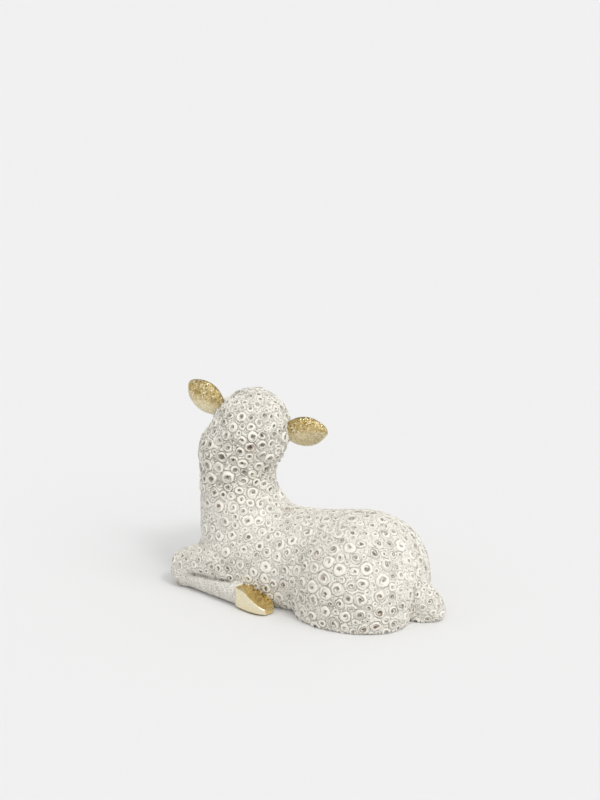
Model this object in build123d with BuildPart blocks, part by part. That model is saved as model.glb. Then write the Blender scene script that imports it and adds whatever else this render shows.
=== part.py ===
from build123d import *
import os
from math import asin, cos, degrees, pi, radians, sin, sqrt

# A lying lamb, cast in resin and put together from separate castings on hidden pins.
# Lengths are millimetres and angles are degrees. The table is at Z = 0, the lamb's chest
# is towards -X and its tail towards +X, and its right side is +Y. Its head is turned right.

# Base: a felt pad let into the body, over the plug that closes the pouring hole
felt_thickness = 1.2
felt_length = 92.0
felt_width = 46.0
felt_clearance = 0.2
foot_clearance = 0.4
pour_hole_diameter = 22.0
plug_flange_diameter = 28.0
plug_flange_thickness = 2.0
plug_clearance = 0.1

# Body casting: a hollow torso with two haunches and a solid neck
torso_length = 136.0
torso_width = 72.0
back_height = 55.0
wall = 6.0
floor_thickness = 5.0
haunch_length = 70.0
haunch_width = 50.0
haunch_height = 76.0
haunch_spread = 18.0
left_haunch_centre_height = 14.0
left_haunch_setback = 35.0
right_haunch_centre_height = 12.0
right_haunch_setback = 39.5
neck_radius = 21.3
neck_joint_height = 62.0
neck_setback = 19.6
chest_setback = 26.0

# Fleece: domed curls with a pit, cast on the body in staggered rows
curl_spacing = 8.4
curl_radius = 3.5
curl_height = 0.9
curl_root = 0.4
curl_pit_radius = 0.9
curl_stray = 0.65
curl_clearance = 0.8
barrel_row_turn = 120.0
rump_row_turn = 60.0

# Head casting, turned to the lamb's right and tipped towards its right ear
head_width = 44.4
head_height = 50.0
head_depth = 50.0
head_rise = 30.0
head_setback = 5.6
head_side_shift = 5.0
head_turn = 75.0
head_tip = 19.0
muzzle_pitch = 16.0
neck_dowel_diameter = 8.0
neck_dowel_length = 26.0

# Glass eyes: a half bead on a short stem, set in a round socket
eye_diameter = 6.0
eye_forward = 17.0
eye_height = 2.0
eye_sink = 1.6
eye_stem_length = 2.0
eye_clearance = 0.05

# Ears
ear_length = 25.6
ear_width = 20.5
ear_thickness = 9.0
ear_rim = 1.6
ear_scoop_depth = 4.6
left_ear_height = 5.4
right_ear_height = 8.0
ear_lift = 23.0
ear_cup_turn = 24.0
left_ear_seat_depth = 2.5
right_ear_seat_depth = 4.0
ear_pin_diameter = 2.4
ear_pin_length = 12.0
ear_pin_back = 2.0

# Folded forelegs. The lower leg stays a clearance above the base, and only the knee is cut flat
knee_reach = 6.5
knee_spread = 16.0
knee_radius = 8.6
knee_height = 22.0
shoulder_setback = 19.0
shoulder_spread = 17.0
shoulder_height = 20.0
shoulder_radius = 12.0
fetlock_setback = 38.5
fetlock_spread = 30.0
fetlock_radius = 6.2
leg_clearance = 0.3
leg_pin_diameter = 3.0
leg_pin_length = 14.0

# Hooves, lying on their front wall with the sole facing up and back
hoof_length = 21.5
hoof_width = 14.4
hoof_toe_height = 3.2
hoof_heel_run = 6.0
hoof_edge_radius = 1.6
hoof_pin_diameter = 2.4
hoof_pin_length = 10.0

# Tail
tail_length = 32.0
tail_width = 19.0
tail_thickness = 17.0
tail_droop = 34.0
tail_overhang = 13.5
tail_tip_height = 2.2
tail_pin_diameter = 2.4
tail_pin_length = 9.0
tail_pin_setback = 2.8

# Fits shared by all the pins, and how far cuts run past what they cut
pin_clearance = 0.1
cut_overrun = 2.0

# Torso sections from the chest to the rump. Each gives its place along the torso, its half
# width, its top and its bottom, as shares of the torso's length, half width and height.
# Bottoms below the table are cut off flat at the base.
torso_station_shares = (
    (0.020, 0.30, 0.66, 0.22),
    (0.070, 0.55, 0.80, 0.06),
    (0.160, 0.75, 0.90, -0.06),
    (0.300, 0.84, 0.93, -0.14),
    (0.460, 0.88, 0.925, -0.18),
    (0.600, 0.93, 0.96, -0.18),
    (0.750, 1.00, 1.00, -0.18),
    (0.860, 0.94, 0.93, -0.12),
    (0.940, 0.72, 0.77, 0.02),
    (0.985, 0.40, 0.60, 0.20),
)
chest_tip_height_share = 0.44
rump_tip_height_share = 0.40
# The torso's slimmest place, which the cavity keeps its wall from
waist_width_share = 0.84
waist_top_share = 0.925
# Where the curls' rows start from inside the body: the barrel's and the rump's heart as shares
# of the torso's length from the chest and of the back's height, and the neck's lowest row
barrel_start_share = 0.28
barrel_heart_share = 0.36
rump_heart_share = 0.74
neck_row_start_share = 0.12
curl_least_spacing_share = 0.92

# Neck sections up to the joint: height, lean from the chest to the joint, radius along the
# body and radius across it, as shares of the joint's height, its lean and the neck's radius
neck_station_shares = (
    (0.00, -0.15, 1.00, 1.02),
    (0.36, 0.00, 1.19, 1.32),
    (0.61, 0.10, 1.24, 1.20),
    (0.81, 0.30, 1.19, 1.09),
    (0.92, 0.70, 1.06, 1.02),
    (1.00, 1.00, 1.00, 1.00),
)
# The neck above the joint: rise and lean towards the head's centre, then how far its radius
# goes from the neck's to the head's, and its share of that radius
nape_station_shares = (
    (0.00, 0.00, 0.00, 1.000),
    (0.45, 0.03, 0.20, 0.982),
    (0.80, 0.20, 0.60, 1.024),
    (1.10, 0.40, 1.00, 0.883),
)
# The muzzle's length, width and height as shares of the head's depth, width and height
muzzle_length_share = 0.88
muzzle_width_share = 0.586
muzzle_height_share = 0.48
# Muzzle sections from the head's centre: reach, half width and half height
muzzle_station_shares = (
    (0.10, 1.44, 1.60),
    (0.40, 1.18, 1.34),
    (0.66, 1.02, 1.08),
    (0.84, 0.94, 0.92),
    (0.94, 0.76, 0.70),
    (0.985, 0.46, 0.42),
)
# Ear sections from the root: reach, half width and half thickness
ear_station_shares = (
    (0.00, 0.46, 0.60),
    (0.22, 0.80, 0.92),
    (0.48, 1.00, 1.00),
    (0.72, 0.86, 0.84),
    (0.90, 0.50, 0.54),
    (0.97, 0.27, 0.32),
)
ear_scoop_middle_share = 0.55
ear_scoop_reach_share = 0.40
# Hoof sections from the fetlock: reach and width
hoof_station_shares = ((0.00, 0.86), (0.30, 0.98), (0.62, 0.96), (0.86, 0.78), (1.00, 0.50))
leg_pin_place_share = 0.58

left, right = -1, 1
sides = {"left": left, "right": right}
ear_heights = {left: left_ear_height, right: right_ear_height}
ear_seat_depths = {left: left_ear_seat_depth, right: right_ear_seat_depth}
from_bottom = (Align.CENTER, Align.CENTER, Align.MIN)


def between(low, high, share):
    """The value that lies that share of the way from low to high."""
    return low + (high - low) * share


def ellipsoid(length, width, height):
    """A closed egg of those three sizes, centred on the origin."""
    with BuildPart() as egg:
        Sphere(1)
        scale(by=(length / 2, width / 2, height / 2))
    return egg.part


def rod(diameter, length, place, clearance=0):
    """A straight round pin with its middle at the place and its axis along the place's Z."""
    with BuildPart(place) as pin:
        Cylinder(diameter / 2 + clearance, length + 2 * clearance)
    return pin.part


def limb(start, start_radius, end, end_radius):
    """A tapered limb with round ends."""
    along = (end - start).normalized()
    with BuildPart() as form:
        with BuildSketch(Plane(start, z_dir=along)):
            Circle(start_radius)
        with BuildSketch(Plane(end, z_dir=along)):
            Circle(end_radius)
        loft()
        with Locations(start):
            Sphere(start_radius)
        with Locations(end):
            Sphere(end_radius)
    return form.part


# Places that several pieces share
chest_x = -torso_length / 2
rump_x = torso_length / 2
neck_x = chest_x + neck_setback
ground = Plane.XY
foot_plane = ground.offset(foot_clearance)
pad_plane = ground.offset(felt_thickness)
neck_joint = Plane((neck_x, 0, neck_joint_height))

head_centre = Vector(neck_x + head_setback, head_side_shift, neck_joint_height + head_rise)
face_way = Vector(-cos(radians(head_turn)), sin(radians(head_turn)), 0)
level_left = Vector(-sin(radians(head_turn)), -cos(radians(head_turn)), 0)
head_left = level_left * cos(radians(head_tip)) + Vector(0, 0, sin(radians(head_tip)))
# In the head's plane X points to its left ear, Y up and Z out of the face
head_plane = Plane(head_centre, x_dir=head_left, z_dir=face_way)
head_up = head_plane.y_dir
muzzle_way = face_way * cos(radians(muzzle_pitch)) - head_up * sin(radians(muzzle_pitch))
muzzle_plane = Plane(head_centre, x_dir=head_left, z_dir=muzzle_way)
muzzle_length = head_depth * muzzle_length_share
muzzle_width = head_width * muzzle_width_share
muzzle_height = head_height * muzzle_height_share

tail_way = Vector(cos(radians(tail_droop)), 0, -sin(radians(tail_droop)))
tail_tip = Vector(rump_x + tail_overhang, 0, foot_clearance + tail_tip_height)
tail_centre = tail_tip - tail_way * (tail_length / 2)
tail_plane = Plane(tail_centre, x_dir=(0, 1, 0), z_dir=tail_way)
tail_pin_plane = tail_plane.offset(-tail_pin_setback)


def ear_plane(side):
    """The ear's root: Z runs out to the tip, and Y is the way that the cup opens."""
    outward = head_left * -side * cos(radians(ear_lift)) + head_up * sin(radians(ear_lift))
    opening = face_way * cos(radians(ear_cup_turn)) + head_up * sin(radians(ear_cup_turn))
    seat = head_left * -side * (head_width / 2 - ear_seat_depths[side])
    root = head_centre + seat + head_up * ear_heights[side]
    return Plane(root, x_dir=opening.cross(outward), z_dir=outward)


def ear_pin_plane(side):
    """The middle of an ear's pin, where the ear leaves the head, behind the scoop."""
    root = ear_plane(side)
    return root.offset(ear_seat_depths[side]).move(Location(root.y_dir * -ear_pin_back))


def eye_plane(side):
    """The rim of an eye's half bead, sunk below the head's skin: Z looks out."""
    half_width, half_height, half_depth = head_width / 2, head_height / 2, head_depth / 2
    across = half_width * sqrt(1 - (eye_forward / half_depth) ** 2 - (eye_height / half_height) ** 2)
    outward = head_left * -side
    skin = head_centre + outward * across + head_up * eye_height + face_way * eye_forward
    look = (
        outward * (across / half_width**2)
        + head_up * (eye_height / half_height**2)
        + face_way * (eye_forward / half_depth**2)
    )
    return Plane(skin, z_dir=look).offset(-eye_sink)


def leg_points(side):
    """A folded foreleg's shoulder, the upper and lower middles of its knee and its fetlock."""
    knee_x = chest_x - knee_reach
    fetlock_x = chest_x + fetlock_setback
    lower_height = foot_clearance + leg_clearance + fetlock_radius
    shoulder = Vector(chest_x + shoulder_setback, side * shoulder_spread, shoulder_height)
    knee_top = Vector(knee_x, side * knee_spread, knee_height - knee_radius)
    knee_low = Vector(knee_x, side * knee_spread, lower_height)
    fetlock = Vector(fetlock_x, side * fetlock_spread, lower_height)
    return shoulder, knee_top, knee_low, fetlock


def leg_pin_plane(side):
    """The middle of the pin that holds a foreleg to the chest."""
    shoulder, knee_top, _, _ = leg_points(side)
    middle = shoulder + (knee_top - shoulder) * leg_pin_place_share
    return Plane(middle, z_dir=(knee_top - shoulder).normalized())


def off_limb(point, start, start_radius, end, end_radius):
    """How far a point is outside a tapered limb."""
    along = end - start
    share = min(max((point - start).dot(along) / along.dot(along), 0), 1)
    return (point - start - along * share).length - between(start_radius, end_radius, share)


def hoof_plane(side):
    """A fetlock's end: Z runs back to the toe and Y is up."""
    _, _, knee_low, fetlock = leg_points(side)
    toe_way = (fetlock - knee_low).normalized()
    return Plane(fetlock, x_dir=Vector(0, 0, 1).cross(toe_way), z_dir=toe_way)


def both_pins(diameter, length, place, clearance=0):
    """The left and right pins of a pair."""
    with BuildPart() as pair:
        for side in (left, right):
            add(rod(diameter, length, place(side), clearance))
    return pair.part


leg_bores = both_pins(leg_pin_diameter, leg_pin_length, leg_pin_plane, pin_clearance)
ear_bores = both_pins(ear_pin_diameter, ear_pin_length, ear_pin_plane, pin_clearance)
hoof_bores = both_pins(hoof_pin_diameter, hoof_pin_length, hoof_plane, pin_clearance)
neck_bore = rod(neck_dowel_diameter, neck_dowel_length, neck_joint, pin_clearance)
tail_bore = rod(tail_pin_diameter, tail_pin_length, tail_pin_plane, pin_clearance)

# Body casting
torso_sections = []
for along, half_width, top, bottom in torso_station_shares:
    low = back_height * bottom
    high = back_height * top
    middle = (between(chest_x, rump_x, along), 0, (low + high) / 2)
    with BuildSketch(Plane(middle, x_dir=(0, 1, 0), z_dir=(1, 0, 0))) as section:
        Ellipse(torso_width / 2 * half_width, (high - low) / 2)
    torso_sections.append(section.sketch)
chest_tip = Vertex(chest_x, 0, back_height * chest_tip_height_share)
rump_tip = Vertex(rump_x, 0, back_height * rump_tip_height_share)

with BuildPart() as body_form:
    loft(sections=[chest_tip, *torso_sections, rump_tip])
    with Locations(
        (rump_x - left_haunch_setback, left * haunch_spread, left_haunch_centre_height),
        (rump_x - right_haunch_setback, right * haunch_spread, right_haunch_centre_height),
    ):
        add(ellipsoid(haunch_length, haunch_width, haunch_height))
    for height, lean, along, across in neck_station_shares:
        middle_x = between(chest_x + chest_setback, neck_x, lean)
        with BuildSketch(Plane((middle_x, 0, neck_joint_height * height))):
            Ellipse(neck_radius * along, neck_radius * across)
    loft()
    split(bisect_by=foot_plane, keep=Keep.TOP)

cavity_top = back_height * waist_top_share - wall
with BuildPart() as cavity:
    with Locations((0, 0, between(foot_clearance, cavity_top, 1 / 2))):
        add(
            ellipsoid(
                torso_length - 2 * wall,
                torso_width * waist_width_share - 2 * wall,
                cavity_top - foot_clearance,
            )
        )
    split(bisect_by=foot_plane.offset(floor_thickness), keep=Keep.TOP)

# Curls. Each row's rays leave a heart inside the body, and a curl sits where a ray leaves the skin.
row_step = curl_spacing * sqrt(3) / 2
barrel_heart_height = back_height * barrel_heart_share
curl_margin = curl_radius + curl_clearance
limbs = [(tail_centre - tail_way * (tail_length / 2), tail_width / 2, tail_tip, tail_width / 2)]
for side in (left, right):
    shoulder, knee_top, knee_low, fetlock = leg_points(side)
    toe = fetlock + hoof_plane(side).z_dir * hoof_length
    limbs.append((shoulder, shoulder_radius, knee_top, knee_radius))
    limbs.append((knee_low, fetlock_radius, fetlock, fetlock_radius))
    limbs.append((fetlock, hoof_width / 2, toe, hoof_width / 2))
curl_places = []


def cast_curl(heart, way):
    """Adds a curl where a ray from the heart leaves the body, if there is room for it."""
    hits = body_form.part.find_intersection_points(Axis(heart, way))
    skin, outward = max(hits, key=lambda hit: (hit[0] - heart).dot(way))
    low = skin.Z - curl_margin * Vector(outward.X, outward.Y).length
    high = skin.Z + curl_margin
    clear = all(off_limb(skin, *limb) > curl_margin for limb in limbs)
    apart = all(
        (skin - place.origin).length > curl_spacing * curl_least_spacing_share
        for place in curl_places
    )
    if low > foot_clearance and high < neck_joint_height and clear and apart:
        curl_places.append(Plane(skin - outward * curl_root, z_dir=outward))
    return (skin - heart).length


def ring_way(axis, zero, angle):
    """The direction at that angle round an axis, from its zero direction."""
    return zero * cos(angle) + axis.cross(zero) * sin(angle)


barrel_axis, up = Vector(1, 0, 0), Vector(0, 0, 1)
barrel_start = between(chest_x, rump_x, barrel_start_share)
for row in range(int((rump_x - barrel_start) / row_step)):
    heart = Vector(barrel_start + row * row_step, 0, barrel_heart_height)
    for turn in (-1, 1):
        angle = row % 2 / 2 * curl_spacing / back_height
        while angle < radians(barrel_row_turn):
            stray = curl_stray * sin(row * row + angle * back_height) / back_height
            reach = cast_curl(heart, ring_way(barrel_axis, up, turn * (angle + stray)))
            angle += curl_spacing / reach
rump_heart = Vector(between(chest_x, rump_x, rump_heart_share), 0, barrel_heart_height)
rump_reach = rump_x - rump_heart.X
for ring in range(1, int(radians(rump_row_turn) * rump_reach / row_step) + 1):
    tilt = ring * row_step / rump_reach
    count = int(2 * pi * ring)
    for step in range(count):
        side_way = ring_way(barrel_axis, up, 2 * pi * step / count)
        cast_curl(rump_heart, barrel_axis * cos(tilt) + side_way * sin(tilt))
neck_rows = int(neck_joint_height * (1 - neck_row_start_share) / row_step)
for row in range(neck_rows):
    height = between(neck_row_start_share, 1, row / neck_rows)
    heart = Vector(between(chest_x + chest_setback, neck_x, height), 0, neck_joint_height * height)
    count = int(2 * pi * neck_radius / curl_spacing)
    for step in range(count):
        angle = 2 * pi * (step + row % 2 / 2) / count
        stray = curl_stray * sin(row * row + step) / neck_radius
        cast_curl(heart, ring_way(up, barrel_axis, angle + stray))

dome_radius = (curl_radius**2 + curl_height**2) / (2 * curl_height)
dome_latitude = degrees(asin(1 - (curl_height + curl_root) / dome_radius))
with BuildPart() as curl:
    Sphere(dome_radius, arc_size1=dome_latitude, align=from_bottom)
    with Locations((0, 0, curl_root + curl_height)):
        Sphere(curl_pit_radius, mode=Mode.SUBTRACT)

with BuildPart() as body_shell:
    add(body_form.part)
    add(cavity.part, mode=Mode.SUBTRACT)
    with BuildSketch(ground):
        SlotOverall(felt_length + 2 * felt_clearance, felt_width + 2 * felt_clearance)
    extrude(amount=felt_thickness, mode=Mode.SUBTRACT)
    with Locations(pad_plane):
        Cylinder(
            plug_flange_diameter / 2 + plug_clearance,
            plug_flange_thickness,
            align=from_bottom,
            mode=Mode.SUBTRACT,
        )
        Cylinder(
            pour_hole_diameter / 2,
            floor_thickness + cut_overrun,
            align=from_bottom,
            mode=Mode.SUBTRACT,
        )
    add([neck_bore, leg_bores, tail_bore], mode=Mode.SUBTRACT)
    with Locations(*curl_places):
        add(curl.part)
body_shell.part.label = "body_shell"

with BuildPart(pad_plane) as base_plug:
    Cylinder(plug_flange_diameter / 2, plug_flange_thickness, align=from_bottom)
    Cylinder(
        pour_hole_diameter / 2 - plug_clearance,
        foot_clearance + floor_thickness - felt_thickness,
        align=from_bottom,
    )
base_plug.part.label = "base_plug"

with BuildPart() as base_felt:
    with BuildSketch(ground):
        SlotOverall(felt_length, felt_width)
    extrude(amount=felt_thickness)
base_felt.part.label = "base_felt"

# Head casting with the upper neck and the muzzle
with BuildPart() as head_form:
    for rise, lean, swell, radius in nape_station_shares:
        middle = (
            between(neck_x, head_centre.X, lean),
            between(0, head_centre.Y, lean),
            between(neck_joint_height, head_centre.Z, rise),
        )
        with BuildSketch(Plane(middle)):
            Circle(between(neck_radius, head_width / 2, swell) * radius)
    loft()
    with Locations(head_plane):
        add(ellipsoid(head_width, head_height, head_depth))
    muzzle_sections = []
    for reach, width, height in muzzle_station_shares:
        with BuildSketch(muzzle_plane.offset(muzzle_length * reach), mode=Mode.PRIVATE) as section:
            Ellipse(muzzle_width / 2 * width, muzzle_height / 2 * height)
        muzzle_sections.append(section.sketch)
    nose_tip = Vertex(head_centre + muzzle_way * muzzle_length)
    loft(sections=[*muzzle_sections, nose_tip])

with BuildPart() as head:
    add(head_form.part)
    add([neck_bore, ear_bores], mode=Mode.SUBTRACT)
    for side in (left, right):
        with Locations(eye_plane(side).offset(-eye_stem_length - eye_clearance)):
            Cylinder(
                eye_diameter / 2 + eye_clearance,
                eye_stem_length + eye_diameter,
                align=from_bottom,
                mode=Mode.SUBTRACT,
            )
head.part.label = "head"

# Ears and eyes
ears, eyes = {}, {}
for name, side in sides.items():
    root = ear_plane(side)
    ear_sections = []
    for reach, width, thickness in ear_station_shares:
        with BuildSketch(root.offset(ear_length * reach)) as section:
            Ellipse(ear_width / 2 * width, ear_thickness / 2 * thickness)
        ear_sections.append(section.sketch)
    ear_tip = Vertex(root.origin + root.z_dir * ear_length)
    scoop_middle = (0, ear_thickness / 2, ear_length * ear_scoop_middle_share)
    with BuildPart() as ear:
        loft(sections=[*ear_sections, ear_tip])
        with Locations(root.location * Location(scoop_middle)):
            add(
                ellipsoid(
                    ear_width - 2 * ear_rim,
                    2 * ear_scoop_depth,
                    2 * ear_length * ear_scoop_reach_share,
                ),
                mode=Mode.SUBTRACT,
            )
        add([head_form.part, ear_bores], mode=Mode.SUBTRACT)
    ear.part.label = f"{name}_ear"
    ears[name] = ear.part

    with BuildPart(eye_plane(side)) as eye:
        Sphere(eye_diameter / 2, arc_size1=0, align=from_bottom)
        Cylinder(
            eye_diameter / 2,
            eye_stem_length,
            align=(Align.CENTER, Align.CENTER, Align.MAX),
        )
    eye.part.label = f"{name}_eye"
    eyes[name] = eye.part

# Forelegs and hooves: the right ones mirror the left ones
shoulder, knee_top, knee_low, fetlock = leg_points(left)
fetlock_end = hoof_plane(left)
with BuildPart() as left_foreleg:
    add(limb(shoulder, shoulder_radius, knee_top, knee_radius))
    add(limb(knee_low, fetlock_radius, fetlock, fetlock_radius))
    with Locations((knee_top + knee_low) / 2):
        add(ellipsoid(2 * knee_radius, 2 * knee_radius, knee_height - foot_clearance))
    split(bisect_by=fetlock_end, keep=Keep.BOTTOM)
    split(bisect_by=foot_plane, keep=Keep.TOP)
    add([body_form.part, leg_bores, hoof_bores], mode=Mode.SUBTRACT)
left_foreleg.part.label = "left_foreleg"

toe_way, hoof_up = fetlock_end.z_dir, fetlock_end.y_dir
heel = fetlock + toe_way * hoof_heel_run + hoof_up * fetlock_radius
toe_edge = fetlock + toe_way * hoof_length + hoof_up * (hoof_toe_height - fetlock_radius)
sole_plane = Plane(heel, x_dir=fetlock_end.x_dir, z_dir=(toe_edge - heel).cross(fetlock_end.x_dir))
with BuildPart() as left_fore_hoof:
    for reach, width in hoof_station_shares:
        with BuildSketch(fetlock_end.offset(hoof_length * reach)):
            RectangleRounded(hoof_width * width, 2 * fetlock_radius, hoof_edge_radius)
    loft()
    split(bisect_by=sole_plane, keep=Keep.BOTTOM)
    add([body_form.part, hoof_bores], mode=Mode.SUBTRACT)
left_fore_hoof.part.label = "left_fore_hoof"

with BuildPart() as right_foreleg:
    mirror(left_foreleg.part, about=Plane.XZ)
right_foreleg.part.label = "right_foreleg"
with BuildPart() as right_fore_hoof:
    mirror(left_fore_hoof.part, about=Plane.XZ)
right_fore_hoof.part.label = "right_fore_hoof"

with BuildPart() as tail:
    with Locations(tail_plane):
        add(ellipsoid(tail_width, tail_thickness, tail_length))
    split(bisect_by=foot_plane, keep=Keep.TOP)
    add([body_form.part, tail_bore], mode=Mode.SUBTRACT)
tail.part.label = "tail"

# Pins and dowel that hold the castings together
neck_dowel = rod(neck_dowel_diameter, neck_dowel_length, neck_joint)
neck_dowel.label = "neck_dowel"
ear_pins = both_pins(ear_pin_diameter, ear_pin_length, ear_pin_plane)
ear_pins.label = "ear_pins"
foreleg_pins = both_pins(leg_pin_diameter, leg_pin_length, leg_pin_plane)
foreleg_pins.label = "foreleg_pins"
hoof_pins = both_pins(hoof_pin_diameter, hoof_pin_length, hoof_plane)
hoof_pins.label = "hoof_pins"
tail_pin = rod(tail_pin_diameter, tail_pin_length, tail_pin_plane)
tail_pin.label = "tail_pin"

pieces = [
    body_shell.part,
    base_plug.part,
    base_felt.part,
    head.part,
    tail.part,
    neck_dowel,
    ear_pins,
    foreleg_pins,
    hoof_pins,
    tail_pin,
    *ears.values(),
    *eyes.values(),
    left_foreleg.part,
    right_foreleg.part,
    left_fore_hoof.part,
    right_fore_hoof.part,
]
os.makedirs("parts", exist_ok=True)
for piece in pieces:
    export_step(piece, f"parts/{piece.label}.step")
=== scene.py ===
"""A lying lamb of cast resin: its carved fleece, gold ears and hooves, face and plain studio."""

from math import cos, pi, radians, sin

import bmesh
import bpy
import numpy as np
from mathutils import Matrix, Vector
from mathutils.bvhtree import BVHTree
from mathutils.kdtree import KDTree


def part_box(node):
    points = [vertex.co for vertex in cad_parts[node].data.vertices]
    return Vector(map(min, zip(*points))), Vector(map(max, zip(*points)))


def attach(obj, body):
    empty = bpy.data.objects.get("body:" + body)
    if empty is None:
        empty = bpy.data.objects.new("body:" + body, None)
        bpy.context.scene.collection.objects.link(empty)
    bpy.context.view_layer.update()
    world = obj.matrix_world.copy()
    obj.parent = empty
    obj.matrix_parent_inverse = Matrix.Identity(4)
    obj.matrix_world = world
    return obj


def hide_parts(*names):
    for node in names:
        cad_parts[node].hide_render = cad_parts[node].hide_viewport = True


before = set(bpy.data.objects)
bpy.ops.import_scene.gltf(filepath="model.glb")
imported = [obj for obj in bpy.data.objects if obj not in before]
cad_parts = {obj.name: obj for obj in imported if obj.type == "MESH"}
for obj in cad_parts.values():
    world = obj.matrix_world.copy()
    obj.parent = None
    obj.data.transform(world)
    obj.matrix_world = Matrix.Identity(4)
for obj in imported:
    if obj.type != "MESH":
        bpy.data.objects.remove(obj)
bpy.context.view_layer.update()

MM = 0.001
SEED = 20

# The photograph's view: the camera's turn and drop, its distance from the tail's foot, and
# the pixel of the 600 by 800 picture that the tail's foot falls on
VIEW_TURN = radians(27.0)
VIEW_DROP = radians(15.5)
VIEW_DISTANCE = 1000 * MM
FOCAL_PIXELS = 1780.0
PICTURE = (600, 800)
TAIL_FOOT = Vector((70 * MM, 0, 0))
TAIL_FOOT_PIXEL = (424.0, 617.6)
SENSOR_MM = 36.0

# The head casting's own axes, as it is turned and tipped, and its middle
HEAD_TURN = radians(75.0)
HEAD_TIP = radians(19.0)
MUZZLE_PITCH = radians(16.0)
HEAD_MIDDLE = np.array((-42.8, 5.0, 92.0)) * MM
FACE_WAY = np.array((-cos(HEAD_TURN), sin(HEAD_TURN), 0))
LEVEL_LEFT = np.array((-sin(HEAD_TURN), -cos(HEAD_TURN), 0))
HEAD_LEFT = LEVEL_LEFT * cos(HEAD_TIP) + np.array((0, 0, sin(HEAD_TIP)))
HEAD_UP = np.cross(FACE_WAY, HEAD_LEFT)
HEAD_AXES = Matrix((HEAD_LEFT, HEAD_UP, FACE_WAY)).transposed()
MUZZLE_WAY = FACE_WAY * cos(MUZZLE_PITCH) - HEAD_UP * sin(MUZZLE_PITCH)
MUZZLE_UP = FACE_WAY * sin(MUZZLE_PITCH) + HEAD_UP * cos(MUZZLE_PITCH)
NECK_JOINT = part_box("head")[0].z
FOOT_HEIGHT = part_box("body_shell")[0].z
# Where the second copy of the tail is, that fills what is under its root
TAIL_SINK = Vector((-4 * MM, 0, -5 * MM))


# Skins

def merged_copy(name, nodes, sunk=()):
    """A new object that holds copies of CAD nodes, each with its triangles joined up.

    A sunk node has a second copy below it and nearer the body, to fill what is under its root.
    """
    bm = bmesh.new()
    for node in sunk:
        bm.from_mesh(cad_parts[node].data)
        bmesh.ops.translate(bm, verts=bm.verts, vec=TAIL_SINK)
    for node in nodes:
        bm.from_mesh(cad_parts[node].data)
    bmesh.ops.remove_doubles(bm, verts=bm.verts, dist=0.001 * MM)
    mesh = bpy.data.meshes.new(name)
    bm.to_mesh(mesh)
    bm.free()
    piece = bpy.data.objects.new(name, mesh)
    bpy.context.scene.collection.objects.link(piece)
    return piece


def even_skin(name, nodes, grain, sunk=()):
    """One closed skin round the nodes, in even quads of the grain's size."""
    piece = merged_copy(name, nodes, sunk)
    remesh = piece.modifiers.new("even_quads", "REMESH")
    remesh.mode = "VOXEL"
    remesh.voxel_size = grain
    shaped = piece.evaluated_get(bpy.context.evaluated_depsgraph_get())
    even = bpy.data.meshes.new_from_object(shaped)
    plain = piece.data
    piece.modifiers.clear()
    piece.data = even
    bpy.data.meshes.remove(plain)
    even.name = name
    keep_outer_skin(even)
    return piece


def keep_outer_skin(mesh):
    """Deletes the skins of hollows and loose bits, which are smaller than the outer skin."""
    bm = bmesh.new()
    bm.from_mesh(mesh)
    unseen = set(bm.verts)
    skins = []
    while unseen:
        skin = [unseen.pop()]
        for vert in skin:
            for edge in vert.link_edges:
                other = edge.other_vert(vert)
                if other in unseen:
                    unseen.remove(other)
                    skin.append(other)
        skins.append(skin)
    skins.sort(key=len)
    for skin in skins[:-1]:
        bmesh.ops.delete(bm, geom=skin, context="VERTS")
    bm.to_mesh(mesh)
    bm.free()


def points_of(mesh):
    points = np.empty(len(mesh.vertices) * 3)
    mesh.vertices.foreach_get("co", points)
    return points.reshape(-1, 3)


def normals_of(mesh):
    normals = np.empty(len(mesh.vertices) * 3, np.float32)
    mesh.vertex_normals.foreach_get("vector", normals)
    return normals.reshape(-1, 3).astype(float)


def set_points(mesh, points):
    mesh.vertices.foreach_set("co", points.ravel())
    mesh.update()


def mark_points(mesh, name, values):
    mark = mesh.attributes.new(name, "FLOAT", "POINT")
    mark.data.foreach_set("value", values.astype(np.float32))


def relax(mesh, grain, spread, share=1.0):
    """Evens a skin of that grain out over the spread: each point moves towards its neighbours' middle."""
    points = points_of(mesh)
    ends = np.empty(len(mesh.edges) * 2, np.int32)
    mesh.edges.foreach_get("vertices", ends)
    first, second = ends.reshape(-1, 2).T
    count = len(points)
    links = np.bincount(ends, minlength=count)[:, None]
    share = 0.5 * np.broadcast_to(share, count)[:, None]
    for _ in range(round(4 * (spread / grain) ** 2)):
        total = np.empty_like(points)
        for axis in range(3):
            total[:, axis] = np.bincount(first, points[second, axis], count)
            total[:, axis] += np.bincount(second, points[first, axis], count)
        points += share * (total / links - points)
    set_points(mesh, points)


def off_node(points, node, reach=6 * MM):
    """How far points are from a CAD node's surface, measured within a reach of its box."""
    bm = bmesh.new()
    bm.from_mesh(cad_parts[node].data)
    tree = BVHTree.FromBMesh(bm)
    bm.free()
    low, high = (np.array(corner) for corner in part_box(node))
    off = np.full(len(points), 1.0)
    for index in np.flatnonzero(((points > low - reach) & (points < high + reach)).all(1)):
        off[index] = tree.find_nearest(points[index])[3]
    return off


def ease(low, high, value):
    """A smooth step from 0 at low to 1 at high."""
    t = np.clip((value - low) / (high - low), 0, 1)
    return t * t * (3 - 2 * t)


def bell(*offsets):
    """A smooth hill: 1 at no offset, about a third at an offset of 1."""
    return np.exp(-sum(offset**2 for offset in offsets))


def lumps(points, size, seed):
    """Soft lumps of about that size, from -1 to 1: a sum of waves in seeded directions."""
    rng = np.random.default_rng(seed)
    waves = rng.normal(size=(9, 3))
    waves *= 2 * pi / (size * np.linalg.norm(waves, axis=1, keepdims=True))
    waves *= rng.uniform(0.7, 1.3, (9, 1))
    phases = rng.uniform(0, 2 * pi, 9)
    return np.sin(points @ waves.T + phases).mean(axis=1) * 1.6


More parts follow.
